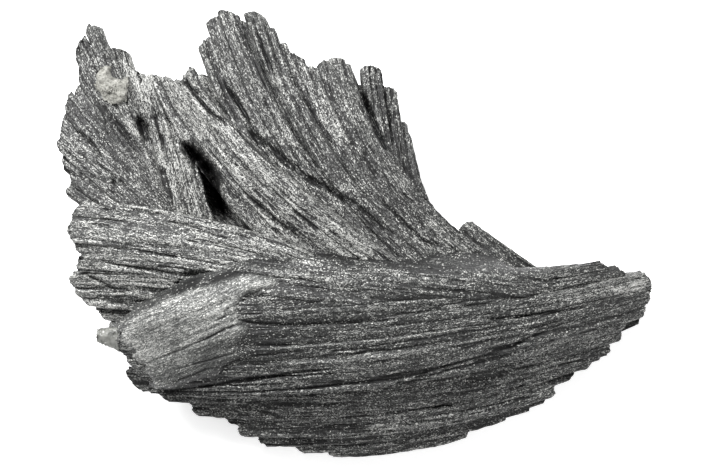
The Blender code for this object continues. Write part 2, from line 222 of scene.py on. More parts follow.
SLIVER = Sheaf(
    "sliver",
    tips=[(-18.8, 10.4, 11.6, 1.5), (-17.4, 10.6, 12.6, 1.6), (-15.6, 9.0, 13.2, 1.6)],
    roots=[(-14.0, -1.0, 12.5), (-8.5, -4.0, 15.0)],
    bow=[0.3, 0.3],
    rise=[0.3, 0.6],
    thickness=3.6,
    backing=[(2, 2.8, 5.6, 0.4)],
    relief=0.16,
    tone=0.42,
)
LEFT = Sheaf(
    "left",
    tips=[
        (-41.5, 7.3, 11.6, 2.4), (-41.2, 9.3, 12.2, 2.3), (-42.4, 12.0, 12.0, 2.7),
        (-42.95, 14.5, 12.8, 2.7), (-42.3, 16.9, 12.2, 2.6), (-41.8, 19.7, 12.0, 2.6),
        (-40.2, 22.2, 11.4, 2.4), (-40.0, 25.2, 11.8, 2.2), (-40.1, 28.2, 11.2, 2.4),
        (-38.2, 30.9, 12.0, 1.9), (-36.5, 26.9, 11.4, 1.9),
    ],
    roots=[(-20.0, -3.9, 15.0), (-22.2, 0.1, 14.0), (-24.5, 2.0, 12.6)],
    bow=[0.6, 0.8, 0.4],
    rise=[1.2, 1.0, 0.6],
    thickness=3.2,
    backing=[(6, 2.6, 4.4, 1.6), (5, 6.2, 4.4, 3.4)],
    tone=0.23,
    rag=0.45,
    cut=0.9,
    unevenness=0.5,
)
PALE = Sheaf(
    "pale",
    tips=[(-34.5, 27.4, 10.4, 2.1), (-32.3, 24.2, 10.6, 2.2), (-30.2, 23.2, 10.8, 2.1)],
    roots=[(-26.6, 6.0, 11.5), (-23.0, 6.0, 11.5)],
    bow=[0.4, 0.2],
    rise=[0.3, 0.3],
    thickness=3.2,
    backing=[(2, 2.6, 7.0, 2.0)],
    tone=0.46,
    relief=0.15,
)
COLUMN = Sheaf(
    "column",
    tips=[(-28.8, 18.1, 13.2, 1.9), (-26.9, 17.0, 13.8, 1.9), (-25.0, 14.8, 13.0, 1.9)],
    roots=[(-24.4, -1.0, 13.6), (-20.8, -1.5, 13.6)],
    bow=[0.2, -0.3],
    rise=[0.6, 0.6],
    thickness=3.4,
    backing=[(2, 2.8, 8.0, 1.0)],
    tone=0.45,
    relief=0.15,
)
LOWER = Sheaf(
    "lower",
    tips=[
        (-40.2, 4.1, 12.4, 2.2), (-41.3, 2.4, 13.0, 2.2), (-41.5, 0.4, 13.6, 2.3),
        (-40.2, -1.7, 13.6, 2.3), (-40.2, -4.1, 13.2, 2.3), (-41.0, -7.1, 11.6, 2.5),
        (-39.8, -9.4, 11.0, 2.3), (-37.2, -11.4, 10.0, 2.1), (-35.6, -13.0, 9.4, 2.0),
    ],
    roots=[(-2.0, -6.0, 20.0), (-6.0, -9.0, 19.0), (-14.0, -14.0, 13.0)],
    bow=[-2.0, -1.0, 0.3],
    rise=[1.6, 1.6, 0.6],
    thickness=3.4,
    backing=[(5, 2.8, 4.8, 1.4), (4, 6.8, 5.0, 3.0)],
    tone=0.53,
    rag=0.4,
    cut=0.9,
    unevenness=0.35,
)
# The front sheaf is bare at both ends: its tips are its left ends and its roots its right ends.
FRONT = Sheaf(
    "front",
    tips=[
        (-17.5, -5.6, 19.2, 2.4), (-23.0, -8.2, 19.6, 2.6), (-28.0, -10.6, 19.2, 2.8),
        (-31.8, -12.8, 18.4, 3.0), (-33.9, -15.4, 17.4, 3.0), (-32.9, -18.0, 16.4, 2.8),
        (-31.4, -20.2, 15.2, 2.7), (-29.4, -21.9, 14.0, 2.5), (-32.4, -21.5, 9.6, 2.6),
        (-28.4, -22.9, 9.0, 2.5), (-23.8, -25.2, 8.6, 2.5), (-19.2, -26.8, 8.0, 2.4),
        (-16.8, -28.5, 7.0, 2.3), (-13.6, -30.2, 6.2, 2.2), (-8.4, -31.1, 5.4, 2.1),
        (-3.4, -31.6, 4.8, 2.0), (3.0, -31.1, 4.2, 1.8),
    ],
    roots=[
        (29.5, -7.0, 14.2), (33.5, -6.2, 13.4), (37.6, -5.6, 12.8), (40.0, -6.6, 12.4),
        (43.8, -7.3, 12.0), (43.6, -9.0, 11.4), (43.0, -10.6, 10.6), (40.4, -12.4, 9.8),
        (39.8, -14.2, 8.8), (38.0, -16.2, 8.0), (35.2, -18.0, 7.4), (32.6, -20.0, 7.0),
        (30.0, -22.6, 6.4), (26.4, -24.8, 5.8), (22.8, -26.2, 5.2), (17.0, -28.8, 4.6),
        (14.4, -29.9, 4.2),
    ],
    bow=[0.6, 1.8, 3.2, 3.4, 2.8, 1.5, 0.5],
    rise=[4.4, 5.2, 5.4, 5.0, 3.6, 2.0, 0.6],
    thickness=3.6,
    backing=[(8, 3.0, 5.0, 2.6), (6, 7.2, 5.4, 4.6), (4, 11.6, 5.6, 8.0)],
    bare_roots=True,
    tone=0.225,
    rag=0.35,
    cut=0.7,
    step=0.66,
)
BACK_FAN = Sheaf(
    "back_fan",
    tips=[
        (-35.0, -4.0, 7.4, 8.0), (-35.5, 6.0, 7.4, 8.0), (-33.5, 16.0, 7.4, 8.0),
        (-24.5, 17.0, 7.0, 7.0), (-17.0, 23.0, 7.4, 8.0), (-8.5, 20.5, 7.4, 8.0),
        (1.0, 16.0, 7.0, 7.0),
    ],
    roots=[(-4.0, -14.0, 9.0), (2.0, -10.0, 9.0), (17.0, -9.0, 8.0)],
    bow=[0.5, 1.5, 3.0],
    rise=[-1.6, -2.0, -1.6],
    thickness=6.8,
    tone=0.38,
    spacing=0.3,
    step=0.9,
)
BACK_LONG = Sheaf(
    "back_long",
    tips=[
        (-29.0, -9.0, 9.0, 6.0), (-27.0, -15.0, 8.6, 6.0), (-22.0, -21.0, 7.4, 5.6), (-12.0, -26.0, 6.0, 4.6),
    ],
    roots=[(35.0, -9.0, 8.4), (34.0, -12.0, 7.8), (28.0, -17.0, 7.0), (18.0, -23.5, 6.0)],
    bow=[1.5, 2.0],
    rise=[-2.2, -1.4],
    thickness=6.6,
    bare_roots=True,
    tone=0.32,
    spacing=0.3,
    step=0.9,
)
SHEAVES = [CROWN, SPUR, LEDGE, MIDDLE, FRINGE, SLIVER, LEFT, PALE, COLUMN, LOWER, FRONT, BACK_FAN, BACK_LONG]


# Soft-edged stretches of the broad face that are lighter or darker than the sheaf around them:
# (x, y, length, width, degrees from +X towards +Y, how much lighter).
PATCHES = [
    (-34.0, 0.8, 10.0, 4.0, -4.0, -0.18),  # the upper part of the lower sheaf
    (-19.0, -7.4, 9.0, 1.7, 20.0, -0.14),  # the upper edge of the slab
    (-32.2, 15.8, 2.2, 0.35, -48.0, 0.45),  # the pale chip above the column
    (-30.5, -18.8, 4.4, 0.25, -53.0, 0.3),  # the bright rim of the slab
    (-16.5, -11.4, 1.6, 0.25, 75.0, 0.3),  # and a chip on it
    (-18.5, -17.8, 9.5, 2.9, 18.0, -0.3),  # its rough lower part
    (-1.0, -12.5, 17.0, 3.2, -2.0, -0.08),  # the dark middle of the front
    (4.0, 8.0, 8.0, 5.0, -50.0, -0.11),  # and of the crown
    (-31.8, 24.3, 4.0, 1.8, -60.0, 0.35),  # the pale end beside the crust
    (-30.6, 15.0, 9.0, 2.4, -65.0, 0.1),  # the pale stretch above the column
    (-2.6, 26.0, 1.4, 0.8, 0.0, 0.3),  # pale tips and chips of the crown
    (-11.0, 22.7, 1.2, 0.6, -45.0, 0.45),
    (-5.9, 11.9, 3.0, 2.2, -45.0, 0.16),
    (7.6, 7.2, 1.9, 0.9, -45.0, 0.28),
    (13.8, -2.2, 2.2, 1.1, -60.0, 0.2),
    (-0.9, 7.1, 0.9, 0.7, 0.0, 0.3),
    (-1.3, -0.4, 4.6, 1.1, -38.0, 0.14),  # the pale foot of the middle sheaf
    (34.5, -8.2, 4.6, 1.0, 12.0, 0.3),  # the pale right end
    (40.5, -7.6, 3.0, 1.2, 0.0, 0.34),
    (42.2, -6.9, 1.3, 1.0, 0.0, 0.4),
]


def along(row, share):
    """The value at a share of a row of evenly spaced numbers or points."""
    place = share * (len(row) - 1)
    low = max(min(int(place), len(row) - 2), 0)
    high = min(low + 1, len(row) - 1)
    part = place - low
    if isinstance(row[0], tuple):
        return np.array([a + (b - a) * part for a, b in zip(row[low][:3], row[high][:3])])
    return row[low] + (row[high] - row[low]) * part


def unit(vectors):
    return vectors / np.maximum(np.linalg.norm(vectors, axis=-1, keepdims=True), 1e-9)


def dot(first, second):
    return np.sum(first * second, axis=-1, keepdims=True)


class Arc:
    """The middle line of a blade's upper face at one share of a row: 0 at the root and 1 at the tip."""

    def __init__(self, sheaf, share, sink=0.0, retreat=0.0):
        tip = along(sheaf.tips, share)
        root = along(sheaf.roots, share)
        chord = tip - root
        tip = tip - unit(chord) * retreat
        side = unit(np.array([chord[1], -chord[0], 0.0]))
        lift = np.array([0.0, 0.0, along(sheaf.rise, share)])
        middle = (tip + root) / 2 - side * along(sheaf.bow, share) + lift
        drop = np.array([0.0, 0.0, sink])
        self.root = root - drop
        self.tip = tip - drop
        self.control = middle * 2 - (tip + root) / 2 - drop
        self.length = np.linalg.norm(self.tip - self.root)

    def at(self, s):
        s = s[..., None]
        return self.root * (1 - s) ** 2 + self.control * (2 * s * (1 - s)) + self.tip * s**2

    def heading(self, s):
        s = s[..., None]
        return unit((self.control - self.root) * (1 - s) + (self.tip - self.control) * s)


@dataclass
class Blade:
    """One blade of the solids, with the arcs of the row on both sides of it."""

    arc: Arc
    tilt_arcs: tuple
    width_arcs: tuple  # a backing blade's; a front blade has a width of its own
    own_width: float
    thickness: float
    roll: float
    skew: float
    bare_root: bool

    def width(self, s):
        if not self.width_arcs:
            return np.full(s.shape + (1,), self.own_width)
        ahead = self.arc.heading(s)
        step = self.width_arcs[1].at(s) - self.width_arcs[0].at(s)
        across = np.linalg.norm(step - ahead * dot(step, ahead), axis=-1, keepdims=True)
        return np.maximum(across * BACK_OVERLAP, NARROWEST)

    def stand(self, s):
        """Where the blade runs at s: its line, its three directions, its width and its thickness."""
        ahead = self.arc.heading(s)
        side = unit(np.stack([ahead[..., 1], -ahead[..., 0], np.zeros(s.shape)], axis=-1))
        step = self.tilt_arcs[1].at(s) - self.tilt_arcs[0].at(s)
        run = dot(step, side)[..., 0]
        safe = np.where(np.abs(run) > LEAST_RUN, run, 1.0)
        sideways = np.abs(run) / np.maximum(np.linalg.norm(step, axis=-1), LEAST_RUN)
        tilt = np.clip(step[..., 2] / safe, -MAX_TILT, MAX_TILT) * np.clip(sideways * 2, 0.0, 1.0)
        side[..., 2] = np.where(np.abs(run) > LEAST_RUN, tilt, 0.0)
        side = unit(side - ahead * dot(side, ahead))
        up = np.cross(side, ahead)
        if self.width_arcs:
            up = np.broadcast_to(np.array([0.0, 0.0, 1.0]), up.shape)
        else:
            turn, lean = math.cos(self.roll), math.sin(self.roll)
            side, up = side * turn + up * lean, up * turn - side * lean
        end = (np.maximum(s, 1 - s) if self.bare_root else s)[..., None] ** 4
        at_tip = BACK_TIP_WIDTH if self.width_arcs else TIP_WIDTH
        width = self.width(s) * (1 - (1 - at_tip) * end)
        thickness = self.thickness * (1 - (1 - TIP_THICKNESS) * end)
        return self.arc.at(s), ahead, side, up, width, thickness


def end_cut(sheaf, share, arc):
    """How far one edge of a tip runs ahead, over the half width, where its end follows the outline."""
    beside = 1 / max(len(sheaf.tips) - 1, 1)
    outline = along(sheaf.tips, min(share + beside, 1.0)) - along(sheaf.tips, max(share - beside, 0.0))
    x, y, _ = arc.heading(np.array(1.0))
    ahead, aside = outline[0] * x + outline[1] * y, outline[0] * y - outline[1] * x
    return float(np.clip(ahead / aside, -MAX_CUT, MAX_CUT)) if abs(aside) > LEAST_RUN else 0.0


def blades_of(sheaf, rng):
    """The front row of the sheaf, one blade for each tip, and the rows of wider blades behind it."""
    rows = [[]]

    def add(share, sink, retreat, reach, own_width, thickness):
        beside = max(share - TILT_REACH, 0.0), min(share + TILT_REACH, 1.0)
        arc = Arc(sheaf, share, sink, retreat)
        blade = Blade(
            arc,
            tuple(Arc(sheaf, place) for place in beside),
            (Arc(sheaf, share - reach), Arc(sheaf, share + reach)) if reach else (),
            own_width,
            thickness,
            math.radians(rng.uniform(-ROLL_DEG, ROLL_DEG)) * sheaf.unevenness,
            rng.uniform(-TIP_SKEW, TIP_SKEW) + end_cut(sheaf, share, arc) * sheaf.cut * (1 - share**6),
            sheaf.bare_roots,
        )
        rows[-1].append(blade)

    last = max(len(sheaf.tips) - 1, 1)
    for i, tip in enumerate(sheaf.tips):
        sink = rng.uniform(-STEP_HEIGHT, STEP_HEIGHT) * sheaf.unevenness
        add(i / last, sink, 0.0, 0.0, tip[3] * OVERLAP, sheaf.thickness)
    for count, depth, thickness, retreat in sheaf.backing:
        rows.append([])
        for i in range(count):
            back = retreat * rng.uniform(0.5, 1.5)
            add((i + 0.5) / count, depth, back, 0.5 / count, 0.0, thickness)
    return rows


# Cracks and valleys in the broad face: (line of (x, y) points, width, depth, how much painted shade darkens
# it at its deepest).
GROOVES = [
    # the deep hole
    ([(-24.3, 13.3), (-22.2, 11.0), (-21.0, 9.6), (-20.2, 8.0), (-19.7, 4.7), (-18.4, 2.8)], 0.8, 8.5, 1.2),
    # middle from fringe
    ([(-24.6, 22.7), (-21.8, 19.4), (-20.2, 17.5), (-18.3, 16.4)], 0.3, 1.6, 0.75),
    ([(-20.9, 21.2), (-19.0, 18.7), (-17.4, 16.5)], 0.16, 1.0, 0.5),
    ([(-22.6, 21.4), (-20.6, 18.9)], 0.14, 0.8, 0.4),
    # fringe from crown
    ([(-18.3, 21.8), (-16.6, 19.4), (-14.7, 16.5)], 0.3, 1.8, 0.8),
    # middle from crown
    ([(-14.7, 15.0), (-11.7, 12.5), (-8.9, 10.2), (-6.7, 8.6)], 0.45, 1.4, 0.45),
    ([(-6.7, 8.6), (-3.9, 7.0), (-1.5, 5.5), (0.8, 4.4)], 0.4, 1.7, 0.5),
    ([(0.8, 4.4), (2.7, 2.7), (4.3, 1.1), (6.3, 0.0)], 0.3, 1.0, 0.3),
    # under the middle
    ([(-15.8, 6.4), (-13.3, 4.2), (-11.1, 2.2), (-8.9, 0.8), (-5.6, -1.9)], 0.3, 1.5, 0.5),
    # in the crown's right half
    ([(3.8, 5.5), (7.4, 2.2), (10.2, -0.6), (13.0, -1.7)], 0.22, 1.3, 0.45),
    ([(7.5, 6.3), (9.3, 4.5)], 0.2, 1.0, 0.4),
    # in its left half
    ([(-13.9, 29.9), (-12.5, 26.2), (-11.2, 23.4)], 0.25, 1.2, 0.45),
    ([(-7.4, 20.4), (-4.0, 15.4), (-2.1, 12.6)], 0.16, 0.8, 0.35),
    # crown from spur
    ([(1.7, 20.8), (2.6, 18.0), (3.6, 15.2), (5.1, 12.5)], 0.4, 3.4, 0.7),
    ([(4.8, 21.9), (6.4, 11.8)], 0.2, 1.4, 0.4),
    # along the lower sheaf
    ([(-36.2, -3.9), (-28.0, -5.2), (-21.5, -6.3)], 0.2, 1.0, 0.3),
    ([(-24.5, -5.6), (-20.9, -5.7)], 0.45, 1.6, 0.5),
    ([(-39.8, 15.0), (-38.1, 13.7), (-36.4, 11.0)], 0.2, 1.2, 0.45),
    ([(-35.1, 8.4), (-34.2, 7.1)], 0.25, 1.2, 0.4),
    ([(-38.6, -5.8), (-34.5, -8.0)], 0.25, 1.2, 0.4),
    # at the head of the column
    ([(-36.9, 19.3), (-34.7, 16.6), (-32.5, 14.0), (-30.9, 12.2)], 0.45, 0.8, 0.35),
    ([(-31.3, 17.3), (-30.6, 15.8), (-30.0, 13.8)], 0.5, 2.5, 0.9),
    ([(-30.4, 17.3), (-27.4, 17.1)], 0.18, 0.8, 0.5),
    ([(-28.6, 16.6), (-26.6, 9.8)], 0.16, 1.0, 0.4),
    # front sheaf
    ([(-27.6, -22.7), (-16.4, -21.2), (-7.6, -19.7), (-3.2, -19.4)], 0.26, 1.1, 0.4),
    ([(-16.1, -12.4), (-11.0, -12.9), (-7.6, -12.9), (6.0, -12.2)], 0.22, 0.9, 0.35),
    ([(19.4, -12.1), (29.8, -11.1), (34.1, -10.5)], 0.22, 0.7, 0.3),
    ([(-16.4, -23.0), (-3.2, -21.9), (7.1, -20.8), (20.2, -17.2), (30.6, -13.0)], 0.26, 0.8, 0.3),
]
# Cracks in the slab, as the grooves above; their darkening is painted shade.
SLAB_CRACKS = [
    ([(-15.5, -12.7), (-16.9, -13.0), (-18.4, -13.6), (-20.5, -14.7), (-22.5, -15.6)], 0.16, 0.5, 0.5),
    ([(-22.5, -15.6), (-25.9, -17.1), (-29.3, -18.3)], 0.12, 0.25, 0.22),
    ([(-17.5, -9.9), (-18.3, -11.8), (-19.9, -12.4)], 0.12, 0.3, 0.35),
    ([(-27.0, -21.6), (-21.0, -19.4), (-14.0, -18.0)], 0.16, 0.3, 0.3),
    ([(-25.5, -19.4), (-19.0, -17.6), (-14.5, -16.4)], 0.14, 0.3, 0.25),
]


@dataclass
class Fibres:
    """Fibres that overlap on a blade's skin, in mm along it and round it."""

    start: np.ndarray
    end: np.ndarray
    centre: np.ndarray  # how far round the blade its middle is at its start
    slope: np.ndarray  # how far it drifts round the blade for each mm along
    width: np.ndarray
    rise: np.ndarray  # how high its middle stands
    tone: np.ndarray


def laths(rng, length, girth, relief):
    """The broad fibres that cover the whole skin."""
    count = int(LATH_LAYERS * girth * length / (LATH_WIDTH * min(length, LATH_LENGTH)))
    width = LATH_WIDTH * np.exp(rng.normal(0.0, 0.45, count)).clip(0.4, 2.2)
    span = np.minimum(LATH_LENGTH * rng.uniform(0.4, 1.6, count), length * 1.3)
    start = rng.uniform(-0.5, 1.0, count) * length
    rise = rng.normal(0.0, relief, count)
    return Fibres(
        start=start,
        end=start + span,
        centre=rng.uniform(0.0, girth, count),
        slope=rng.normal(0.0, LATH_DRIFT, count),
        width=width,
        rise=rise,
        # lighter where a lath stands higher: painted light
        tone=rng.normal(0.0, 0.035, count) + rise * 0.25,
    )


def needles(rng, length, girth, relief):
    """Fine short fibres that lie on the broad ones."""
    count = int(NEEDLE_LAYERS * girth * length / (NEEDLE_WIDTH * NEEDLE_LENGTH))
    span = rng.gamma(2.0, NEEDLE_LENGTH / 2, count).clip(0.8, 26.0)
    start = rng.uniform(-0.1, 1.0, count) * length
    rise = rng.uniform(0.25, 1.0, count) ** 2 * relief * 1.3
    return Fibres(
        start=start,
        end=start + span,
        centre=rng.uniform(0.0, girth, count),
        slope=rng.normal(0.0, NEEDLE_DRIFT, count),
        width=NEEDLE_WIDTH * rng.uniform(0.5, 1.8, count),
        rise=rise,
        tone=rng.normal(0.02, 0.075, count),
    )


def cracks(rng, length, girth):
    """Thin gaps between fibres, sunk by their rise, with painted shade as their tone."""
    count = int(CRACKS_PER_MM2 * girth * length)
    start = rng.uniform(-0.05, 1.0, count) * length
    return Fibres(
        start=start,
        end=start + rng.gamma(2.0, 2.4, count).clip(1.0, 14.0),
        centre=rng.uniform(0.0, girth, count),
        slope=rng.normal(0.0, NEEDLE_DRIFT, count),
        width=rng.uniform(0.2, 0.45, count),
        rise=rng.uniform(0.15, 0.5, count),
        tone=rng.uniform(0.1, 0.4, count),
    )


def cover(fibres, along_mm, round_mm, girth, base):
    """The height and tone at every point of a skin: the highest fibre at a point is the one that shows."""
    height = np.full(along_mm.shape, base)
    # the bare skin is darker the deeper it lies: painted shade
    tone = np.full(along_mm.shape, base * CREVICE_PAINTED_SHADE)
    nominal = along_mm.mean(axis=1)
    first = np.searchsorted(nominal, fibres.start - SEARCH_MARGIN)
    last = np.searchsorted(nominal, fibres.end + SEARCH_MARGIN)
    for i in range(len(fibres.start)):
        rows = slice(first[i], last[i])
        if first[i] == last[i]:
            continue
        ahead = along_mm[rows]
        aside = round_mm - fibres.centre[i] - fibres.slope[i] * (ahead - fibres.start[i])
        aside = (aside + girth / 2) % girth - girth / 2
        across = np.abs(aside) * 2 / fibres.width[i]
        to_end = np.minimum(ahead - fibres.start[i], fibres.end[i] - ahead)
        fall = np.clip(1 - to_end / END_TAPER, 0.0, 1.0)
        here = fibres.rise[i] - ROUNDNESS * fibres.width[i] * across**4 - END_DROP * fall**2
        shows = (here > height[rows]) & (across < 1) & (to_end > 0)
        height[rows] = np.where(shows, here, height[rows])
        tone[rows] = np.where(shows, fibres.tone[i], tone[rows])
    return height, tone


def fibre_cover(rng, length, girth, relief, along_mm, round_mm, bare_height):
    """How high the fibres stand, how deep the gaps between them are, and how light they are, with painted
    shade in the gaps and on the bare skin.
    """
    lie = along_mm, round_mm, girth
    broad, broad_tone = cover(laths(rng, length, girth, relief), *lie, bare_height)
    fine, fine_tone = cover(needles(rng, length, girth, relief), *lie, 0.0)
    # the cracks' tone darkens the gaps: painted shade
    gaps, gap_painted_shade = cover(cracks(rng, length, girth), *lie, 0.0)
    return broad + fine, gaps, broad_tone + fine_tone - gap_painted_shade


def waves(rng, s, length, size):
    """A slow random rise and fall along a blade."""
    knots = max(int(length / WAVE_EVERY), 2) + 1
    return np.interp(s, np.linspace(0, 1, knots), rng.normal(0.0, size, knots))


def ring_of(width, thickness, spacing):
    """The points round a blade: how far across (-1 to 1) and down (0 to 1), and how many mm round."""
    top = max(round(width / spacing), 4)
    flank = max(round(thickness / spacing / FLANK_COARSENESS), 3)
    under = max(round(width / spacing / UNDER_COARSENESS), 3)
    across = [np.linspace(-1, 1, top, endpoint=False), np.ones(flank)]
    across += [np.linspace(1, -1, under, endpoint=False), -np.ones(flank)]
    down = [np.zeros(top), np.linspace(0, 1, flank, endpoint=False)]
    down += [np.ones(under), np.linspace(1, 0, flank, endpoint=False)]
    across, down = np.concatenate(across), np.concatenate(down)
    x, y = across * width / 2, down * thickness
    steps = np.hypot(np.roll(x, -1) - x, np.roll(y, -1) - y)
    return across, down, np.cumsum(steps) - steps, steps.sum()


def ragged(rng, round_mm, girth, size):
    """How far each line of a skin stays back from the blade's end."""
    knots = max(int(girth / RAG_EVERY), 4)
    back = np.abs(rng.normal(0.0, size, knots)) - RAG_LEVEL
    return np.interp(round_mm, np.linspace(0, girth, knots + 1), np.append(back, back[0]))


def patch_tone(points):
    """How much lighter the patches make these points of the broad face."""
    tone = np.zeros(points.shape[:-1])
    for middle_x, middle_y, length, width, turn_deg, lighter in PATCHES:
        turn = math.radians(turn_deg)
        x, y = points[..., 0] - middle_x, points[..., 1] - middle_y
        ahead = (x * math.cos(turn) + y * math.sin(turn)) / length
        aside = (y * math.cos(turn) - x * math.sin(turn)) / width
        tone += lighter / (1 + (ahead**2 + aside**2) ** 3)
    return tone


def grooved(points, grooves, rng):
    """How deep the grooves are at these points, and how much painted shade darkens them there."""
    depth = np.zeros(points.shape[:-1])
    shade = np.zeros(points.shape[:-1])
    for line, width, deepest, deepest_painted_shade in grooves:
        runs = np.diff(np.array(line), axis=0)
        lengths = np.linalg.norm(runs, axis=1)
        starts = np.cumsum(lengths) - lengths
        for corner, run, length, before in zip(line, runs, lengths, starts):
            away = points[..., :2] - np.array(corner)
            share = np.clip(away @ run / (run @ run), 0.0, 1.0)
            distance = np.linalg.norm(away - share[..., None] * run, axis=-1)
            done = (before + share * length) / lengths.sum()
            taper = GROOVE_TIP + (1 - GROOVE_TIP) * np.sqrt(np.clip(4 * done * (1 - done), 0.0, 1.0))
            ratio = distance / (width * taper)
            depth = np.maximum(depth, deepest * taper * np.exp(-(ratio**2)))
            shade = np.maximum(shade, deepest_painted_shade * taper * np.exp(-(ratio**4)))
    uneven = rng.uniform(*GROOVE_PLAY, points.shape[:1] + (1,))
    return depth * uneven, shade


def closing_rings(points, ahead, thickness, rng):
    """Smaller and smaller rings that close a blade's end with a rough, slightly bulging break."""
    centre = points.mean(axis=0)
    rings = []
    for share in CAP_SHARES:
        bulge = CAP_BULGE * thickness * (1 - share**2)
        rough = rng.normal(0.0, CAP_ROUGHNESS, (len(points), 1))
        rings.append(centre + (points - centre) * share + ahead * (bulge + rough))
    return np.array(rings)


def skin(blade, sheaf, rng, is_front):
    """The rings of one blade, their shader coordinates and tones, and which of them are in the ground."""
    length = blade.arc.length
    width = float(blade.width(np.array([0.5]))[0, 0])
    spacing = sheaf.spacing if is_front else max(sheaf.spacing * BACK_SPACING, LEAST_BACK_SPACING)
    step = sheaf.step if is_front else max(sheaf.step * BACK_STEP, LEAST_BACK_STEP)
    across, down, round_mm, girth = ring_of(width, blade.thickness, spacing)
    corners = ROUNDING * np.abs(across) ** 4
    tip = corners + ragged(rng, round_mm, girth, sheaf.rag)
    root = corners + ragged(rng, round_mm, girth, sheaf.rag) if blade.bare_root else 0 * tip
    share = np.linspace(0, 1, max(int(length / step), 4))[:, None]
    s = root / length + (1 - tip / length - root / length) * share
    along_mm = s * length
    relief = sheaf.relief
    bare = -BARE_DEPTH * relief
    fibres, gaps, fibre_tone_and_shade = fibre_cover(rng, length, girth, relief, along_mm, round_mm, bare)
    height = fibres - gaps + rng.normal(0.0, GRIT, s.shape)
    tone = sheaf.tone + rng.normal(0.0, BLADE_TONE) + fibre_tone_and_shade
    # lighter where the skin stands higher, darker where it lies lower: painted light and shade
    tone = tone + (height - height.mean()) * HEIGHT_PAINTED_LIGHT
    line, ahead, side, up, widths, thicknesses = blade.stand(s)
    x = np.sign(across) * np.abs(across) ** SQUARENESS
    y = np.sign(1 - 2 * down) * np.abs(1 - 2 * down) ** SQUARENESS
    size = np.maximum(np.hypot(x, y), 1e-6)
    x, y = x / size, y / size
    outward = side * x[:, None] + up * y[:, None]
    inset = EDGE_ROUND * np.abs(across * (1 - 2 * down)) ** 5
    half = across[:, None] * widths / 2
    points = line + ahead * blade.skew * half * (s**4)[..., None] + side * half
    points = points - up * down[:, None] * thicknesses + outward * (height - inset)[..., None]
    points = points + side * waves(rng, s, length, WAVE_ASIDE)[..., None]
    points[..., 2] += waves(rng, s, length, WAVE_UP if is_front else BACK_WAVE_UP)
    root_rings = closing_rings(points[0], -ahead[0], thicknesses[0, 0, 0], rng)
    tip_rings = closing_rings(points[-1], ahead[-1], thicknesses[-1, 0, 0], rng)
    points = np.concatenate([root_rings[::-1], points, tip_rings])
    ends = len(CAP_SHARES)
    beyond = (1 - np.array(CAP_SHARES))[:, None] * blade.thickness / 2
    along_mm = np.concatenate([along_mm[:1] - beyond[::-1], along_mm, along_mm[-1:] + beyond])
    tone, height = (np.pad(values, ((ends, ends), (0, 0)), mode="edge") for values in (tone, height))
    drop, shade = grooved(points, GROOVES, rng)
    height_above = points[..., 2]
    drop = drop if is_front else np.where(drop > DEEP, drop, 0.0)
    points[..., 2] = np.maximum(height_above - drop, np.minimum(height_above, GROOVE_FLOOR))
    # darker in the grooves: painted shade
    tone = tone - shade + patch_tone(points)
    sunk = points[..., 2].max(axis=1) < FLOOR_PLAY
    points[..., 2] = np.maximum(points[..., 2], np.clip(FLOOR_PLAY - height * 0.5, 0.0, 3 * FLOOR_PLAY))
    grain = np.stack([along_mm, np.broadcast_to(round_mm, along_mm.shape)], axis=-1)
    return points, grain, tone, sunk


def mesh_of(name, points, loops, counts, grain, tone, places):
    """A mesh of the points that its faces use. counts has each face's corners, and places their UVs."""
    used, loops = np.unique(loops, return_inverse=True)
    mesh = bpy.data.meshes.new(name)
    mesh.vertices.add(len(used))
    mesh.vertices.foreach_set("co", points[used].astype(np.float32).ravel() * MM)
    mesh.loops.add(loops.size)
    mesh.loops.foreach_set("vertex_index", loops.astype(np.int32).ravel())
    mesh.polygons.add(len(counts))
    mesh.polygons.foreach_set("loop_start", (np.cumsum(counts) - counts).astype(np.int32))
    mesh.update(calc_edges=True)
    layers = ("grain", "FLOAT_VECTOR", "vector", grain), ("tone", "FLOAT", "value", tone)
    for layer, kind, key, values in layers:
        attribute = mesh.attributes.new(layer, kind, "POINT")
        attribute.data.foreach_set(key, values[used].astype(np.float32).ravel())
    atlas = mesh.uv_layers.new(name="OFBake")
    atlas.data.foreach_set("uv", places.astype(np.float32).ravel())
    return mesh


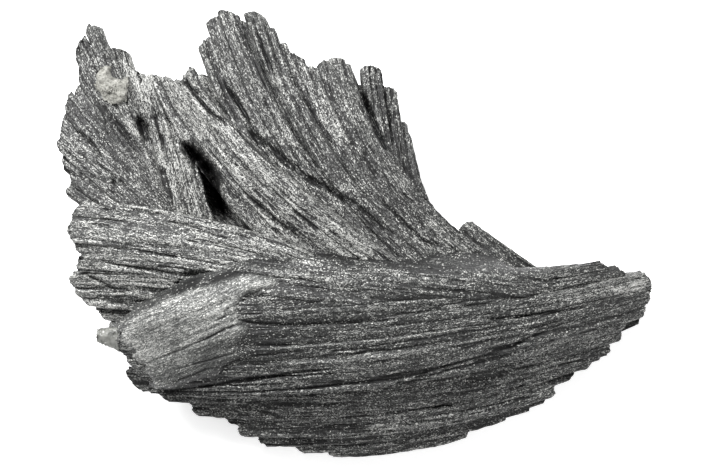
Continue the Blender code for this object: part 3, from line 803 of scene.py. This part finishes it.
def skin_mesh(name, skins):
    """One mesh of many blades, with their shader coordinates and their places in the atlas."""
    skins = [made for made in skins if not made[3].all()]
    columns = max(round(math.sqrt(len(skins) / ATLAS_SHAPE)), 1)
    rows = math.ceil(len(skins) / columns)
    loops, counts, places = [], [], []
    offset = 0
    for number, (points, _, _, sunk) in enumerate(skins):
        rings, around = points.shape[:2]
        index = offset + np.arange(rings * around).reshape(rings, around)
        offset += rings * around
        here, after = index[:-1], index[1:]
        quads = np.stack([here, np.roll(here, -1, axis=1), np.roll(after, -1, axis=1), after], axis=-1)
        above = ~(sunk[:-1] & sunk[1:])
        corner = np.array([number % columns / columns, number // columns / rows])
        size = np.array([ATLAS_FILL / columns, ATLAS_FILL / rows])
        u, v = np.meshgrid(np.arange(rings - 1) / rings, np.arange(around) / around, indexing="ij")
        reach = np.array([[0, 0], [0, 1 / around], [1 / rings, 1 / around], [1 / rings, 0]])
        cells = (np.stack([u, v], axis=-1)[:, :, None, :] + reach) * size + corner
        loops.append(quads[above].ravel())
        counts.append(np.full(int(above.sum()) * around, 4))
        places.append(cells[above].reshape(-1, 2))
        turn = np.linspace(0, 2 * math.pi, around, endpoint=False)
        disc = np.stack([np.cos(turn), np.sin(turn)], axis=-1) * ATLAS_DISC + DISC_MIDDLE
        for end, ring in ((0, index[0, ::-1]), (1, index[-1])):
            if not sunk[-end]:
                loops.append(ring)
                counts.append([around])
                places.append((disc + (0, DISC_APART * (end - 0.5))) * (1 / columns, 1 / rows) + corner)
    points = np.concatenate([made[0].reshape(-1, 3) for made in skins])
    tone = np.concatenate([made[2].ravel() for made in skins])
    numbers = np.concatenate([np.full(made[0].size // 3, i) for i, made in enumerate(skins)])
    grain = np.column_stack([np.concatenate([made[1].reshape(-1, 2) for made in skins]), numbers])
    faces = np.concatenate(loops), np.concatenate(counts)
    return mesh_of(name, points, *faces, grain, tone, np.concatenate(places))


def placed(name, data):
    """A new object in the scene."""
    made = bpy.data.objects.new(name, data)
    bpy.context.scene.collection.objects.link(made)
    return made


def join_kyanite(name, mesh, finish):
    """A piece of the scene in place of the fan's solid."""
    piece = placed(name, mesh)
    mesh.materials.append(finish)
    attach(piece, "root")
    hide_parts("kyanite_fan")
    return piece


def make_sheaf(sheaf, rows, finish):
    """The piece for one sheaf, with the skins of all of its blades."""
    rng = np.random.default_rng([FIBRE_SEED, SHEAVES.index(sheaf)])
    skins = []
    for depth, row in enumerate(rows):
        skins += [skin(blade, sheaf, rng, depth == 0) for blade in row]
    name = sheaf.name + "_fibres"
    return join_kyanite(name, skin_mesh(name, skins), finish)


def inside(outline, x, y):
    """Which of the points lie within the outline."""
    within = np.zeros(x.shape, dtype=bool)
    for (x0, y0), (x1, y1) in zip(outline, outline[1:] + outline[:1]):
        if y0 == y1:
            continue
        crosses = (y0 > y) != (y1 > y)
        within ^= crosses & (x < x0 + (x1 - x0) * (y - y0) / (y1 - y0))
    return within


def neighbours(values):
    """What lies on the four sides of each value."""
    padded = np.pad(values, 1, mode="edge")
    return [padded[:-2, 1:-1], padded[2:, 1:-1], padded[1:-1, :-2], padded[1:-1, 2:]]


def smoothed(values, times):
    """The values, each time averaged with their neighbours."""
    for _ in range(times):
        values = (sum(neighbours(values)) + values) / 5
    return values


@dataclass
class Drape:
    """A sheet of fibres that follows the blades below it and hides their seams."""

    name: str
    outline: list
    turn_deg: float  # the way its fibres run, from +X towards +Y
    rise: float  # how far it stands above the blades
    foot: float  # how far its skirt hangs below its edge
    rim: int  # how gently its edge falls away, in rounds of smoothing
    soft_rim: int  # the same where it runs out into the blades
    soft_from: float  # which it does to the right of this x
    reach: int  # how many steps it bridges
    relief: float
    tone: float
    below: list  # the sheaves that it lies on
    cracks: list


SLAB = Drape(
    "front_slab",
    outline=[
        (-34.5, -13.1), (-33.7, -14.9), (-31.9, -17.1), (-30.1, -19.4), (-28.4, -22.4),
        (-27.2, -22.7), (-25.2, -21.6), (-21.5, -20.8), (-17.5, -20.2), (-19.0, -18.8),
        (-12.0, -16.9), (-16.8, -16.2), (-13.9, -13.4), (-16.0, -12.2), (-15.6, -9.5),
        (-14.4, -8.2), (-11.2, -8.2), (-8.6, -6.2), (-12.0, -4.9), (-15.6, -5.0), (-20.0, -6.2),
        (-24.3, -7.7), (-28.8, -9.0), (-32.5, -11.2),
    ],
    turn_deg=22.0,
    rise=0.4,
    foot=0.6,
    rim=3,
    soft_rim=40,
    soft_from=-28.0,
    reach=7,
    relief=0.028,
    tone=0.7,
    below=["front", "lower"],
    cracks=SLAB_CRACKS,
)
MANTLE = Drape(
    "front_mantle",
    outline=[
        (-16.0, -3.6), (-9.0, -3.4), (-5.0, -2.6), (-1.0, -3.4), (4.0, -3.2), (8.0, -4.4),
        (12.0, -3.0), (16.0, -1.9), (19.0, -2.9), (23.0, -3.9), (27.0, -5.2), (30.0, -7.8),
        (22.0, -9.6), (12.0, -9.4), (2.0, -10.2), (-8.0, -9.6), (-14.0, -8.2),
    ],
    turn_deg=-6.0,
    rise=0.15,
    foot=0.6,
    rim=12,
    soft_rim=20,
    soft_from=-20.0,
    reach=5,
    relief=0.12,
    tone=0.21,
    below=["front", "lower", "crown", "middle", "sliver"],
    cracks=[],
)


def bed_under(x, y, meshes):
    """The height of the highest of the meshes at each point, or no number where there is none."""
    trees = []
    for mesh in meshes:
        corners = [vertex.co for vertex in mesh.vertices]
        trees.append(BVHTree.FromPolygons(corners, [face.vertices for face in mesh.polygons]))
    down = Vector((0.0, 0.0, -1.0))
    bed = np.full(x.shape, np.nan)
    for place in np.ndindex(x.shape):
        above = Vector((x[place] * MM, y[place] * MM, RAY_START))
        hits = [tree.ray_cast(above, down)[0] for tree in trees]
        heights = [hit.z / MM for hit in hits if hit is not None]
        if heights:
            bed[place] = max(heights)
    return bed


def bridged(heights, reach):
    """The heights with their narrow dips filled, and smoothed."""
    for _ in range(reach):
        heights = np.maximum.reduce([heights, *neighbours(heights)])
    return smoothed(heights, reach * SMOOTH_FOR_REACH)


def make_drape(drape, pieces, finish):
    """One sheet as a fine grid over the blades, with its shader coordinates and its places in the atlas."""
    rng = np.random.default_rng([FIBRE_SEED, len(drape.outline)])
    turn = math.radians(drape.turn_deg)
    ahead, aside = (math.cos(turn), math.sin(turn)), (-math.sin(turn), math.cos(turn))
    outline = np.array(drape.outline)
    u, v = outline @ ahead, outline @ aside
    u = np.arange(u.min() - DRAPE_MARGIN, u.max() + DRAPE_MARGIN, DRAPE_STEP)
    v = np.arange(v.min() - DRAPE_MARGIN, v.max() + DRAPE_MARGIN, DRAPE_SPACING)
    u, v = np.meshgrid(u, v, indexing="ij")
    x, y = u * ahead[0] + v * aside[0], u * ahead[1] + v * aside[1]
    bed = bed_under(x, y, [pieces[name].data for name in drape.below])
    bare = np.isnan(bed)
    top = bridged(np.where(bare, np.nanmin(bed), bed), drape.reach)

    wander = [smoothed(rng.normal(0.0, size, x.shape), WANDER_ROUNDS) for size in DRAPE_WANDER]
    within = inside(drape.outline, x + wander[0] * ahead[0], y + wander[1]) & ~bare
    rim, soft_rim = smoothed(within.astype(float), drape.rim), smoothed(within.astype(float), drape.soft_rim)
    soft = np.clip((x - drape.soft_from) / SOFT_RUN, 0.0, 1.0)
    edge = rim + (soft_rim - rim) * soft
    fall, hang = np.clip(2 - 2 * edge, 0.0, 1.0) ** 1.5, np.clip(1 - 2 * edge, 0.0, 1.0)

    along_mm, round_mm = u - u.min(), v - v.min()
    length, girth, relief = along_mm.max(), round_mm.max() + DRAPE_SPARE, drape.relief
    base = -DRAPE_BARE_DEPTH * relief
    fibres, gaps, fibre_tone_and_shade = fibre_cover(rng, length, girth, relief, along_mm, round_mm[0], base)
    height = top + fibres - gaps * relief * DRAPE_GAPS + rng.normal(0.0, DRAPE_GRIT, x.shape)
    height = height + drape.rise * (1 - 2 * fall) - DRAPE_SINK * fall - drape.foot * hang
    points = np.stack([x, y, height], axis=-1)
    drop, shade = grooved(points, drape.cracks, rng)
    points[..., 2] -= drop
    slope = np.hypot(*np.gradient(smoothed(height, 2), DRAPE_STEP, DRAPE_SPACING))
    # darker in the slab's cracks: painted shade
    tone = drape.tone + (FRONT.tone - drape.tone) * fall * soft - shade
    # lighter on the higher fibres: painted light
    tone = tone + fibre_tone_and_shade * min(relief * DRAPE_STREAKS, 1.0) + fibres * HEIGHT_PAINTED_LIGHT
    # darker where the drape falls away steeply: painted shade
    tone = tone + patch_tone(points) - STEEP_PAINTED_SHADE * np.clip(slope - 1, 0.0, 1.0)

    near = (edge > LEAST_EDGE) & ~bare
    index = np.arange(x.size).reshape(x.shape)
    quads = np.stack([index[:-1, :-1], index[1:, :-1], index[1:, 1:], index[:-1, 1:]], axis=-1)
    quads = quads[near[:-1, :-1] & near[1:, :-1] & near[1:, 1:] & near[:-1, 1:]]
    loops = quads.ravel()
    grain = np.stack([along_mm, round_mm, np.full(x.shape, DRAPE_NUMBER)], axis=-1).reshape(-1, 3)
    places = (grain[:, :2] / (length * DRAPE_ATLAS, girth))[loops]
    counts = np.full(len(quads), 4)
    mesh = mesh_of(drape.name, points.reshape(-1, 3), loops, counts, grain, tone.ravel(), places)
    join_kyanite(drape.name, mesh, finish)


class Wire:
    """A shader socket that can be added, multiplied and so on like a number."""

    def __init__(self, finish, socket):
        self.finish = finish
        self.socket = socket

    def maths(self, operation, first, second):
        return self.finish.node("ShaderNodeMath", {"operation": operation}, {0: first, 1: second})

    def __add__(self, other):
        return self.maths("ADD", self, other)

    def __sub__(self, other):
        return self.maths("SUBTRACT", self, other)

    def __rsub__(self, other):
        return self.maths("SUBTRACT", other, self)

    def __mul__(self, other):
        return self.maths("MULTIPLY", self, other)

    def __gt__(self, other):
        return self.maths("GREATER_THAN", self, other)

    __radd__ = __add__
    __rmul__ = __mul__


class Finish:
    """A material under construction, around one Principled shader."""

    def __init__(self, name, **constants):
        self.material = bpy.data.materials.new(name)
        self.material.use_nodes = True
        self.nodes = self.material.node_tree.nodes
        self.links = self.material.node_tree.links
        self.shader = self.nodes["Principled BSDF"]
        for socket, value in constants.items():
            self.shader.inputs[socket.replace("_", " ")].default_value = value

    def node(self, kind, settings=None, inputs=None, output=0):
        """A new node: its settings first, then the values or links of its sockets. Gives one output."""
        made = self.nodes.new(kind)
        for name, value in (settings or {}).items():
            if name == "stops":
                self.set_stops(made.color_ramp, value)
            else:
                setattr(made, name, value)
        for socket, value in (inputs or {}).items():
            if isinstance(value, Wire):
                self.links.new(value.socket, made.inputs[socket])
            else:
                made.inputs[socket].default_value = value
        return Wire(self, made.outputs[output])

    def set_stops(self, ramp, stops):
        while len(ramp.elements) < len(stops):
            ramp.elements.new(1.0)
        for element, (place, colour) in zip(ramp.elements, stops):
            element.position = place
            element.color = (*colour, 1.0)

    def stretched(self, vector, factors):
        """The coordinates, scaled along, across and from fibre to fibre."""
        return self.node("ShaderNodeVectorMath", {"operation": "MULTIPLY"}, {0: vector, 1: factors})

    def cells(self, vector, factors):
        """A random number for each grain, from 0 to 1."""
        inputs = {"Vector": self.stretched(vector, factors), "Scale": 1.0}
        colour = self.node("ShaderNodeTexVoronoi", {}, inputs, "Color")
        return self.node("ShaderNodeSeparateColor", {}, {0: colour})

    def noise(self, vector, scale, detail, roughness=0.5):
        inputs = {"Vector": vector, "Scale": scale, "Detail": detail, "Roughness": roughness}
        return self.node("ShaderNodeTexNoise", {}, inputs)

    def ramp(self, factor, *stops):
        return self.node("ShaderNodeValToRGB", {"stops": stops}, {0: factor})

    def bump(self, strength, distance, height):
        inputs = {"Strength": strength, "Distance": distance * MM, "Height": height}
        return self.node("ShaderNodeBump", {}, inputs)

    def mixed(self, factor, first, second):
        inputs = {0: factor, 6: first, 7: second}
        return self.node("ShaderNodeMix", {"data_type": "RGBA"}, inputs, output=2)

    def set(self, socket, wire):
        self.links.new(wire.socket, self.shader.inputs[socket])


def kyanite_finish(name, contrast):
    """Dark grey fibres with a silvery sheen, streaked and sprinkled with fine pale and dark grains; the pale
    specks are partly painted glints.
    """
    finish = Finish(name, Metallic=0.15)
    grain = finish.node("ShaderNodeAttribute", {"attribute_name": "grain"}, output="Vector")
    tone = finish.node("ShaderNodeAttribute", {"attribute_name": "tone"}, output="Fac")
    place = finish.node("ShaderNodeTexCoord", output="Object")
    streaks = finish.noise(finish.stretched(grain, (0.3, 3.4, 1.37)), 1.0, 3.0)
    salt = finish.noise(finish.stretched(grain, (4.0, 11.0, 2.31)), 1.0, 1.0, 0.6)
    blotches = finish.noise(place, 260.0, 2.0)
    seams = finish.noise(finish.stretched(grain, (0.11, 0.9, 3.77)), 1.0, 2.0)
    seam = finish.node("ShaderNodeMath", {"operation": "ABSOLUTE"}, {0: seams - 0.5})
    limits = {"Value": seam, "From Min": 0.0, "From Max": 0.035, "To Min": 1.0, "To Max": 0.0}
    crack = finish.node("ShaderNodeMapRange", {}, limits)
    chance = finish.cells(grain, (6.0, 10.5, 5.17))
    needle = finish.cells(grain, (0.8, 6.4, 4.13))
    # pale specks: partly pale grains, partly painted glints
    specks_and_glints = chance > 1.065 - blotches * 0.2
    shade = tone + (streaks - 0.5) * 0.5 + (blotches - 0.5) * 0.5 - crack * 0.22 * contrast
    shade = shade + ((salt - 0.5) * 0.95 + (chance - 0.5) * 1.25 + (needle - 0.5) * 0.5) * contrast
    colour = finish.ramp(
        shade,
        (0.0, (0.004, 0.004, 0.004)),
        (0.35, (0.028, 0.029, 0.028)),
        (0.65, (0.112, 0.114, 0.109)),
        (1.0, (0.36, 0.36, 0.345)),
    )
    # the specks' pale colour, partly painted glints
    bright = finish.mixed(specks_and_glints * 0.5, colour, (0.6, 0.6, 0.57, 1.0))
    finish.set("Base Color", bright)
    finish.set("Roughness", 0.75 - chance * 0.3)
    finish.set("Normal", finish.bump(0.5, 0.12, streaks * 0.6 + salt * 0.8))
    return finish.material


def mica_finish():
    """Cream, rough and granular."""
    finish = Finish("pale_mica", Roughness=0.8)
    place = finish.node("ShaderNodeTexCoord", output="Object")
    lumps = finish.noise(place, 1500.0, 4.0, 0.7)
    stops = (0.3, (0.05, 0.049, 0.044)), (0.48, (0.2, 0.198, 0.178)), (0.7, (0.34, 0.337, 0.315))
    finish.set("Base Color", finish.ramp(lumps, *stops))
    finish.set("Normal", finish.bump(0.7, 0.2, lumps))
    return finish.material


def quartz_finish():
    """Cloudy, half clear and slightly glossy."""
    finish = Finish("cloudy_quartz", Roughness=0.3, Transmission_Weight=0.2, IOR=1.54)
    place = finish.node("ShaderNodeTexCoord", output="Object")
    veils = finish.noise(place, 900.0, 3.0)
    finish.set("Base Color", finish.ramp(veils, (0.35, (0.04, 0.042, 0.037)), (0.65, (0.19, 0.192, 0.177))))
    finish.set("Normal", finish.bump(0.3, 0.1, veils))
    return finish.material


def rough_copy(node, name, voxel, lumps, finish, flare=0.0, notches=()):
    """A finer, rounded and lumpy copy of a small solid, that widens to the right by its flare.

    lumps is (height, how many to a millimetre) from coarse to fine, and notches is (x, y, radius, depth).
    """
    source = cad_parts[node]
    piece = placed(name, source.data.copy())
    piece.data.materials.clear()
    remesh = piece.modifiers.new("voxels", "REMESH")
    remesh.mode = "VOXEL"
    remesh.voxel_size = voxel * MM
    piece.modifiers.new("rounding", "SMOOTH").iterations = 6
    evaluated = piece.evaluated_get(bpy.context.evaluated_depsgraph_get())
    mesh = bpy.data.meshes.new_from_object(evaluated)
    piece.modifiers.clear()
    piece.data = mesh
    places = [vertex.co.copy() for vertex in mesh.vertices]
    left, right = min(place.x for place in places), max(place.x for place in places)
    middle = sum(places, Vector()) / len(places)
    for vertex in mesh.vertices:
        wider = flare * ((vertex.co.x - left) / (right - left) + 0.2)
        vertex.co.y += (vertex.co.y - middle.y) * wider
        vertex.co.z += (vertex.co.z - middle.z) * wider
        place = vertex.co / MM
        rise = sum(height * noise.noise(place * closeness) for height, closeness in lumps)
        vertex.co += vertex.normal * rise * MM
        for x, y, radius, depth in notches:
            away = math.hypot(place.x - x, place.y - y) / radius
            vertex.co.z -= depth * math.exp(-(away**4)) * MM
    mesh.materials.clear()
    mesh.materials.append(finish)
    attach(piece, "root")
    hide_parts(node)


VIEW_WIDTH = 103.84  # what the camera takes in at the middle of the specimen's height
VIEW_CENTRE = (0.37, -0.07, 12.0)
LENS = 200.0
SENSOR = 36.0
FLOOR_GAP = 0.05  # the floor lies this far below the lowest flats, so that the two don't coincide


def make_camera():
    """Straight above the broad face, far off and narrow."""
    data = bpy.data.cameras.new("camera")
    data.lens = LENS
    data.sensor_width = SENSOR
    camera = placed("camera", data)
    x, y, z = VIEW_CENTRE
    camera.location = (x * MM, y * MM, (z + VIEW_WIDTH * LENS / SENSOR) * MM)
    bpy.context.scene.camera = camera


def make_light(name, toward, distance, size, power):
    """A soft square light that looks at the specimen from a direction."""
    data = bpy.data.lights.new(name, "AREA")
    data.shape = "SQUARE"
    data.size = size
    data.energy = power
    light = placed(name, data)
    direction = Vector(toward).normalized()
    light.location = direction * distance
    light.rotation_mode = "QUATERNION"
    light.rotation_quaternion = (-direction).to_track_quat("-Z", "Y")


def make_studio():
    """Pale floor, soft key from the upper left, weak fill, and white surroundings."""
    world = bpy.data.worlds.new("studio")
    bpy.context.scene.world = world
    world.use_nodes = True
    background = world.node_tree.nodes["Background"]
    background.inputs["Color"].default_value = (1.0, 1.0, 1.0, 1.0)
    background.inputs["Strength"].default_value = 0.45
    make_light("key", (-0.35, 0.6, 0.8), distance=0.5, size=0.22, power=6.0)
    make_light("fill", (0.8, -0.3, 0.7), distance=0.6, size=0.4, power=1.4)
    floor_shape = bmesh.new()
    bmesh.ops.create_grid(floor_shape, x_segments=1, y_segments=1, size=1.5)
    mesh = bpy.data.meshes.new("floor")
    floor_shape.to_mesh(mesh)
    floor_shape.free()
    floor = placed("floor", mesh)
    floor.location.z = -FLOOR_GAP * MM
    pale, white = (0.9, 0.9, 0.9, 1.0), (1.0, 1.0, 1.0, 1.0)
    paper = Finish("paper", Roughness=0.9, Base_Color=pale, Emission_Color=white, Emission_Strength=0.5)
    mesh.materials.append(paper.material)
    bpy.context.scene.view_settings.view_transform = "Standard"


blade_rng = random.Random(SEED)
fibre_finish = kyanite_finish("black_kyanite", 1.0)
pieces = {sheaf.name: make_sheaf(sheaf, blades_of(sheaf, blade_rng), fibre_finish) for sheaf in SHEAVES}
make_drape(MANTLE, pieces, fibre_finish)
make_drape(SLAB, pieces, kyanite_finish("smooth_kyanite", 0.45))
crust_lumps = [(0.55, 0.45), (0.2, 1.6), (0.1, 5.0)]
crust_notches = [(-34.2, 24.0, 1.2, 2.5), (-33.0, 24.4, 1.4, 2.5)]
rough_copy("mica_crust", "mica_lump", 0.12, crust_lumps, mica_finish(), notches=crust_notches)
nib_lumps = [(0.35, 0.9), (0.12, 2.5)]
rough_copy("quartz_nib", "quartz_stub", 0.1, nib_lumps, quartz_finish(), flare=0.7)
make_camera()
make_studio()
